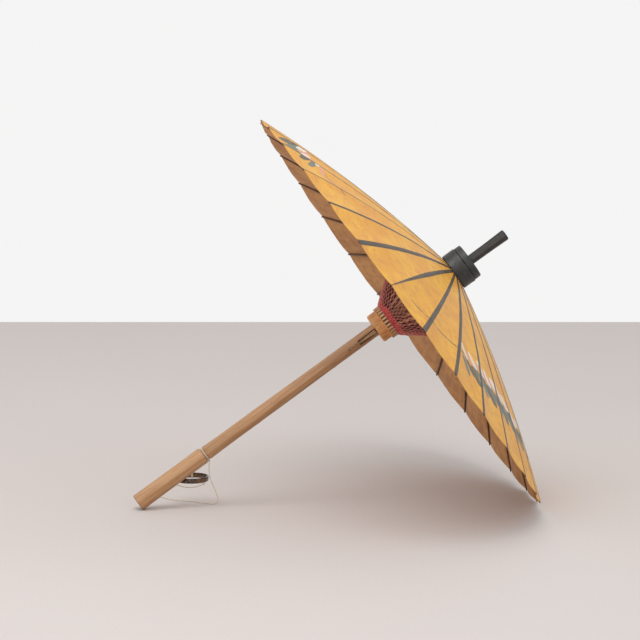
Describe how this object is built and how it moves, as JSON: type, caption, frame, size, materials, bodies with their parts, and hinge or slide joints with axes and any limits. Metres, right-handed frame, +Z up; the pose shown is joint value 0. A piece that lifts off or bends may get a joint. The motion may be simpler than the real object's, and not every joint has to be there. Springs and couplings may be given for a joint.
{
  "type": "oil paper umbrella",
  "caption": "Open oil paper umbrella with bamboo ribs laced to a sliding runner, a catch in the shaft, a black crown and peg, and a ring tied below its handle.",
  "frame": {"origin": "centre of the object's box in X and Y, at the floor that the handle's edge and the rim's lowest rib tips rest on", "axes": "+Z up; +Y across the canopy, its widest way, towards the ring; +X from the handle towards the canopy and the peg, with the shaft rising in the XZ plane"},
  "size_m": [0.5123, 0.5974, 0.4885],
  "materials": {
    "bamboo": "smoked bamboo with lengthwise streaks, satin",
    "pale_bamboo": "split bamboo, matt",
    "dark_bamboo": "split bamboo stained dark brown, matt",
    "turned_wood": "smooth turned light wood, satin",
    "black_lacquer": "black lacquer over wood and paper, half gloss",
    "dark_lacquer": "bent bamboo in mottled dark brown lacquer, glossy",
    "oiled_paper": "oiled paper with painted stripes, half gloss",
    "red_thread": "waxed red thread",
    "pale_string": "cream cotton string"
  },
  "bodies": {
    "umbrella": {"handle_grip": "bamboo", "shaft": "bamboo", "catch_pin": "turned_wood", "crown_notch": "turned_wood", "crown_thread": "red_thread", "crown_cover": "black_lacquer", "crown_cap": "black_lacquer", "finial": "black_lacquer", "canopy": "oiled_paper", "string_tie": "pale_string", "string_long": "pale_string"},
    "runner_body": {"runner": "turned_wood", "runner_thread": "red_thread", "lacing_net": "red_thread"},
    "catch": {"catch_lever": "pale_bamboo"},
    "hanging_ring": {"ring": "dark_lacquer", "ring_binding": "pale_string", "string_short": "pale_string"},
    "rib_01_body": {"rib_01": "dark_bamboo"},
    "rib_02_body": {"rib_02": "dark_bamboo"},
    "rib_03_body": {"rib_03": "dark_bamboo"},
    "rib_04_body": {"rib_04": "dark_bamboo"},
    "rib_05_body": {"rib_05": "dark_bamboo"},
    "rib_06_body": {"rib_06": "dark_bamboo"},
    "rib_07_body": {"rib_07": "dark_bamboo"},
    "rib_08_body": {"rib_08": "dark_bamboo"},
    "rib_09_body": {"rib_09": "dark_bamboo"},
    "rib_10_body": {"rib_10": "dark_bamboo"},
    "rib_11_body": {"rib_11": "dark_bamboo"},
    "rib_12_body": {"rib_12": "dark_bamboo"},
    "rib_13_body": {"rib_13": "dark_bamboo"},
    "rib_14_body": {"rib_14": "dark_bamboo"},
    "rib_15_body": {"rib_15": "dark_bamboo"},
    "rib_16_body": {"rib_16": "dark_bamboo"},
    "rib_17_body": {"rib_17": "dark_bamboo"},
    "rib_18_body": {"rib_18": "dark_bamboo"},
    "rib_19_body": {"rib_19": "dark_bamboo"},
    "rib_20_body": {"rib_20": "dark_bamboo"},
    "rib_21_body": {"rib_21": "dark_bamboo"},
    "rib_22_body": {"rib_22": "dark_bamboo"},
    "rib_23_body": {"rib_23": "dark_bamboo"},
    "rib_24_body": {"rib_24": "dark_bamboo"},
    "rib_25_body": {"rib_25": "dark_bamboo"},
    "rib_26_body": {"rib_26": "dark_bamboo"},
    "rib_27_body": {"rib_27": "dark_bamboo"},
    "rib_28_body": {"rib_28": "dark_bamboo"},
    "stretcher_01_body": {"stretcher_01": "dark_bamboo"},
    "stretcher_03_body": {"stretcher_03": "dark_bamboo"},
    "stretcher_05_body": {"stretcher_05": "dark_bamboo"},
    "stretcher_07_body": {"stretcher_07": "dark_bamboo"},
    "stretcher_09_body": {"stretcher_09": "dark_bamboo"},
    "stretcher_11_body": {"stretcher_11": "dark_bamboo"},
    "stretcher_13_body": {"stretcher_13": "dark_bamboo"},
    "stretcher_15_body": {"stretcher_15": "dark_bamboo"},
    "stretcher_17_body": {"stretcher_17": "dark_bamboo"},
    "stretcher_19_body": {"stretcher_19": "dark_bamboo"},
    "stretcher_21_body": {"stretcher_21": "dark_bamboo"},
    "stretcher_23_body": {"stretcher_23": "dark_bamboo"},
    "stretcher_25_body": {"stretcher_25": "dark_bamboo"},
    "stretcher_27_body": {"stretcher_27": "dark_bamboo"}
  },
  "joints": [
    {"name": "runner_slide", "type": "slide", "parent": "umbrella", "child": "runner_body", "axis": [-0.8161, 0, -0.5779], "range_m": [0, 0.0748], "deforming": ["canopy", "lacing_net"]},
    {"name": "catch_swing", "type": "hinge", "parent": "umbrella", "child": "catch", "pos_m": [0.02233, -0.0068, 0.20142], "axis": [0.5779, 0, -0.8161], "range_deg": [0, 7]},
    {"name": "ring_swing", "type": "hinge", "parent": "umbrella", "child": "hanging_ring", "pos_m": [-0.15905, 0, 0.0606], "axis": [0, 1, 0], "range_deg": [-60, 2], "deforming": ["string_long"]},
    {"name": "rib_01_hinge", "type": "hinge", "parent": "umbrella", "child": "rib_01_body", "pos_m": [0.15953, 0.00185, 0.27848], "axis": [-0.0647, 0.9937, 0.0914], "range_deg": [0, 73]},
    {"name": "rib_02_hinge", "type": "hinge", "parent": "umbrella", "child": "rib_02_body", "pos_m": [0.15905, 0.00545, 0.27915], "axis": [-0.1909, 0.9439, 0.2695], "range_deg": [0, 73]},
    {"name": "rib_03_hinge", "type": "hinge", "parent": "umbrella", "child": "rib_03_body", "pos_m": [0.15813, 0.00878, 0.28046], "axis": [-0.3075, 0.8467, 0.4342], "range_deg": [0, 73]},
    {"name": "rib_04_hinge", "type": "hinge", "parent": "umbrella", "child": "rib_04_body", "pos_m": [0.15679, 0.01167, 0.28234], "axis": [-0.4086, 0.7071, 0.5771], "range_deg": [0, 73]},
    {"name": "rib_05_hinge", "type": "hinge", "parent": "umbrella", "child": "rib_05_body", "pos_m": [0.15513, 0.01397, 0.2847], "axis": [-0.4893, 0.532, 0.691], "range_deg": [0, 73]},
    {"name": "rib_06_hinge", "type": "hinge", "parent": "umbrella", "child": "rib_06_body", "pos_m": [0.1532, 0.01557, 0.28741], "axis": [-0.5455, 0.3303, 0.7703], "range_deg": [0, 73]},
    {"name": "rib_07_hinge", "type": "hinge", "parent": "umbrella", "child": "rib_07_body", "pos_m": [0.15112, 0.0164, 0.29035], "axis": [-0.5743, 0.112, 0.811], "range_deg": [0, 73]},
    {"name": "rib_08_hinge", "type": "hinge", "parent": "umbrella", "child": "rib_08_body", "pos_m": [0.14899, 0.0164, 0.29337], "axis": [-0.5743, -0.112, 0.811], "range_deg": [0, 73]},
    {"name": "rib_09_hinge", "type": "hinge", "parent": "umbrella", "child": "rib_09_body", "pos_m": [0.1469, 0.01557, 0.29631], "axis": [-0.5455, -0.3303, 0.7703], "range_deg": [0, 73]},
    {"name": "rib_10_hinge", "type": "hinge", "parent": "umbrella", "child": "rib_10_body", "pos_m": [0.14498, 0.01397, 0.29902], "axis": [-0.4893, -0.532, 0.691], "range_deg": [0, 73]},
    {"name": "rib_11_hinge", "type": "hinge", "parent": "umbrella", "child": "rib_11_body", "pos_m": [0.14331, 0.01167, 0.30138], "axis": [-0.4086, -0.7071, 0.5771], "range_deg": [0, 73]},
    {"name": "rib_12_hinge", "type": "hinge", "parent": "umbrella", "child": "rib_12_body", "pos_m": [0.14198, 0.00878, 0.30326], "axis": [-0.3075, -0.8467, 0.4342], "range_deg": [0, 73]},
    {"name": "rib_13_hinge", "type": "hinge", "parent": "umbrella", "child": "rib_13_body", "pos_m": [0.14105, 0.00545, 0.30457], "axis": [-0.1909, -0.9439, 0.2695], "range_deg": [0, 73]},
    {"name": "rib_14_hinge", "type": "hinge", "parent": "umbrella", "child": "rib_14_body", "pos_m": [0.14058, 0.00185, 0.30524], "axis": [-0.0647, -0.9937, 0.0914], "range_deg": [0, 73]},
    {"name": "rib_15_hinge", "type": "hinge", "parent": "umbrella", "child": "rib_15_body", "pos_m": [0.14058, -0.00185, 0.30524], "axis": [0.0647, -0.9937, -0.0914], "range_deg": [0, 73]},
    {"name": "rib_16_hinge", "type": "hinge", "parent": "umbrella", "child": "rib_16_body", "pos_m": [0.14105, -0.00545, 0.30457], "axis": [0.1909, -0.9439, -0.2695], "range_deg": [0, 73]},
    {"name": "rib_17_hinge", "type": "hinge", "parent": "umbrella", "child": "rib_17_body", "pos_m": [0.14198, -0.00878, 0.30326], "axis": [0.3075, -0.8467, -0.4342], "range_deg": [0, 73]},
    {"name": "rib_18_hinge", "type": "hinge", "parent": "umbrella", "child": "rib_18_body", "pos_m": [0.14331, -0.01167, 0.30138], "axis": [0.4086, -0.7071, -0.5771], "range_deg": [0, 73]},
    {"name": "rib_19_hinge", "type": "hinge", "parent": "umbrella", "child": "rib_19_body", "pos_m": [0.14498, -0.01397, 0.29902], "axis": [0.4893, -0.532, -0.691], "range_deg": [0, 73]},
    {"name": "rib_20_hinge", "type": "hinge", "parent": "umbrella", "child": "rib_20_body", "pos_m": [0.1469, -0.01557, 0.29631], "axis": [0.5455, -0.3303, -0.7703], "range_deg": [0, 73]},
    {"name": "rib_21_hinge", "type": "hinge", "parent": "umbrella", "child": "rib_21_body", "pos_m": [0.14899, -0.0164, 0.29337], "axis": [0.5743, -0.112, -0.811], "range_deg": [0, 73]},
    {"name": "rib_22_hinge", "type": "hinge", "parent": "umbrella", "child": "rib_22_body", "pos_m": [0.15112, -0.0164, 0.29035], "axis": [0.5743, 0.112, -0.811], "range_deg": [0, 73]},
    {"name": "rib_23_hinge", "type": "hinge", "parent": "umbrella", "child": "rib_23_body", "pos_m": [0.1532, -0.01557, 0.28741], "axis": [0.5455, 0.3303, -0.7703], "range_deg": [0, 73]},
    {"name": "rib_24_hinge", "type": "hinge", "parent": "umbrella", "child": "rib_24_body", "pos_m": [0.15513, -0.01397, 0.2847], "axis": [0.4893, 0.532, -0.691], "range_deg": [0, 73]},
    {"name": "rib_25_hinge", "type": "hinge", "parent": "umbrella", "child": "rib_25_body", "pos_m": [0.15679, -0.01167, 0.28234], "axis": [0.4086, 0.7071, -0.5771], "range_deg": [0, 73]},
    {"name": "rib_26_hinge", "type": "hinge", "parent": "umbrella", "child": "rib_26_body", "pos_m": [0.15813, -0.00878, 0.28046], "axis": [0.3075, 0.8467, -0.4342], "range_deg": [0, 73]},
    {"name": "rib_27_hinge", "type": "hinge", "parent": "umbrella", "child": "rib_27_body", "pos_m": [0.15905, -0.00545, 0.27915], "axis": [0.1909, 0.9439, -0.2695], "range_deg": [0, 73]},
    {"name": "rib_28_hinge", "type": "hinge", "parent": "umbrella", "child": "rib_28_body", "pos_m": [0.15953, -0.00185, 0.27848], "axis": [0.0647, 0.9937, -0.0914], "range_deg": [0, 73]},
    {"name": "stretcher_01_hinge", "type": "hinge", "parent": "runner_body", "child": "stretcher_01_body", "pos_m": [0.07727, 0.00196, 0.21901], "axis": [0.0647, -0.9937, -0.0914], "range_deg": [0, 35]},
    {"name": "stretcher_03_hinge", "type": "hinge", "parent": "runner_body", "child": "stretcher_03_body", "pos_m": [0.07578, 0.00931, 0.22111], "axis": [0.3075, -0.8467, -0.4342], "range_deg": [0, 35]},
    {"name": "stretcher_05_hinge", "type": "hinge", "parent": "runner_body", "child": "stretcher_05_body", "pos_m": [0.0726, 0.01482, 0.2256], "axis": [0.4893, -0.532, -0.691], "range_deg": [0, 35]},
    {"name": "stretcher_07_hinge", "type": "hinge", "parent": "runner_body", "child": "stretcher_07_body", "pos_m": [0.06835, 0.01739, 0.2316], "axis": [0.5743, -0.112, -0.811], "range_deg": [0, 35]},
    {"name": "stretcher_09_hinge", "type": "hinge", "parent": "runner_body", "child": "stretcher_09_body", "pos_m": [0.06388, 0.01652, 0.23792], "axis": [0.5455, 0.3303, -0.7703], "range_deg": [0, 35]},
    {"name": "stretcher_11_hinge", "type": "hinge", "parent": "runner_body", "child": "stretcher_11_body", "pos_m": [0.06007, 0.01237, 0.2433], "axis": [0.4086, 0.7071, -0.5771], "range_deg": [0, 35]},
    {"name": "stretcher_13_hinge", "type": "hinge", "parent": "runner_body", "child": "stretcher_13_body", "pos_m": [0.05767, 0.00578, 0.24668], "axis": [0.1909, 0.9439, -0.2695], "range_deg": [0, 35]},
    {"name": "stretcher_15_hinge", "type": "hinge", "parent": "runner_body", "child": "stretcher_15_body", "pos_m": [0.05717, -0.00196, 0.2474], "axis": [-0.0647, 0.9937, 0.0914], "range_deg": [0, 35]},
    {"name": "stretcher_17_hinge", "type": "hinge", "parent": "runner_body", "child": "stretcher_17_body", "pos_m": [0.05865, -0.00931, 0.2453], "axis": [-0.3075, 0.8467, 0.4342], "range_deg": [0, 35]},
    {"name": "stretcher_19_hinge", "type": "hinge", "parent": "runner_body", "child": "stretcher_19_body", "pos_m": [0.06184, -0.01482, 0.2408], "axis": [-0.4893, 0.532, 0.691], "range_deg": [0, 35]},
    {"name": "stretcher_21_hinge", "type": "hinge", "parent": "runner_body", "child": "stretcher_21_body", "pos_m": [0.06609, -0.01739, 0.2348], "axis": [-0.5743, 0.112, 0.811], "range_deg": [0, 35]},
    {"name": "stretcher_23_hinge", "type": "hinge", "parent": "runner_body", "child": "stretcher_23_body", "pos_m": [0.07056, -0.01652, 0.22849], "axis": [-0.5455, -0.3303, 0.7703], "range_deg": [0, 35]},
    {"name": "stretcher_25_hinge", "type": "hinge", "parent": "runner_body", "child": "stretcher_25_body", "pos_m": [0.07437, -0.01237, 0.2231], "axis": [-0.4086, -0.7071, 0.5771], "range_deg": [0, 35]},
    {"name": "stretcher_27_hinge", "type": "hinge", "parent": "runner_body", "child": "stretcher_27_body", "pos_m": [0.07676, -0.00578, 0.21972], "axis": [-0.1909, -0.9439, 0.2695], "range_deg": [0, 35]}
  ],
  "couplings": [
    {"joint": "rib_01_hinge", "follows": "runner_slide", "rad_per_m": 16.963},
    {"joint": "rib_02_hinge", "follows": "runner_slide", "rad_per_m": 16.963},
    {"joint": "rib_03_hinge", "follows": "runner_slide", "rad_per_m": 16.963},
    {"joint": "rib_04_hinge", "follows": "runner_slide", "rad_per_m": 16.963},
    {"joint": "rib_05_hinge", "follows": "runner_slide", "rad_per_m": 16.963},
    {"joint": "rib_06_hinge", "follows": "runner_slide", "rad_per_m": 16.963},
    {"joint": "rib_07_hinge", "follows": "runner_slide", "rad_per_m": 16.963},
    {"joint": "rib_08_hinge", "follows": "runner_slide", "rad_per_m": 16.963},
    {"joint": "rib_09_hinge", "follows": "runner_slide", "rad_per_m": 16.963},
    {"joint": "rib_10_hinge", "follows": "runner_slide", "rad_per_m": 16.963},
    {"joint": "rib_11_hinge", "follows": "runner_slide", "rad_per_m": 16.963},
    {"joint": "rib_12_hinge", "follows": "runner_slide", "rad_per_m": 16.963},
    {"joint": "rib_13_hinge", "follows": "runner_slide", "rad_per_m": 16.963},
    {"joint": "rib_14_hinge", "follows": "runner_slide", "rad_per_m": 16.963},
    {"joint": "rib_15_hinge", "follows": "runner_slide", "rad_per_m": 16.963},
    {"joint": "rib_16_hinge", "follows": "runner_slide", "rad_per_m": 16.963},
    {"joint": "rib_17_hinge", "follows": "runner_slide", "rad_per_m": 16.963},
    {"joint": "rib_18_hinge", "follows": "runner_slide", "rad_per_m": 16.963},
    {"joint": "rib_19_hinge", "follows": "runner_slide", "rad_per_m": 16.963},
    {"joint": "rib_20_hinge", "follows": "runner_slide", "rad_per_m": 16.963},
    {"joint": "rib_21_hinge", "follows": "runner_slide", "rad_per_m": 16.963},
    {"joint": "rib_22_hinge", "follows": "runner_slide", "rad_per_m": 16.963},
    {"joint": "rib_23_hinge", "follows": "runner_slide", "rad_per_m": 16.963},
    {"joint": "rib_24_hinge", "follows": "runner_slide", "rad_per_m": 16.963},
    {"joint": "rib_25_hinge", "follows": "runner_slide", "rad_per_m": 16.963},
    {"joint": "rib_26_hinge", "follows": "runner_slide", "rad_per_m": 16.963},
    {"joint": "rib_27_hinge", "follows": "runner_slide", "rad_per_m": 16.963},
    {"joint": "rib_28_hinge", "follows": "runner_slide", "rad_per_m": 16.963},
    {"joint": "stretcher_01_hinge", "follows": "runner_slide", "rad_per_m": 8.105},
    {"joint": "stretcher_03_hinge", "follows": "runner_slide", "rad_per_m": 8.105},
    {"joint": "stretcher_05_hinge", "follows": "runner_slide", "rad_per_m": 8.105},
    {"joint": "stretcher_07_hinge", "follows": "runner_slide", "rad_per_m": 8.105},
    {"joint": "stretcher_09_hinge", "follows": "runner_slide", "rad_per_m": 8.105},
    {"joint": "stretcher_11_hinge", "follows": "runner_slide", "rad_per_m": 8.105},
    {"joint": "stretcher_13_hinge", "follows": "runner_slide", "rad_per_m": 8.105},
    {"joint": "stretcher_15_hinge", "follows": "runner_slide", "rad_per_m": 8.105},
    {"joint": "stretcher_17_hinge", "follows": "runner_slide", "rad_per_m": 8.105},
    {"joint": "stretcher_19_hinge", "follows": "runner_slide", "rad_per_m": 8.105},
    {"joint": "stretcher_21_hinge", "follows": "runner_slide", "rad_per_m": 8.105},
    {"joint": "stretcher_23_hinge", "follows": "runner_slide", "rad_per_m": 8.105},
    {"joint": "stretcher_25_hinge", "follows": "runner_slide", "rad_per_m": 8.105},
    {"joint": "stretcher_27_hinge", "follows": "runner_slide", "rad_per_m": 8.105}
  ]
}
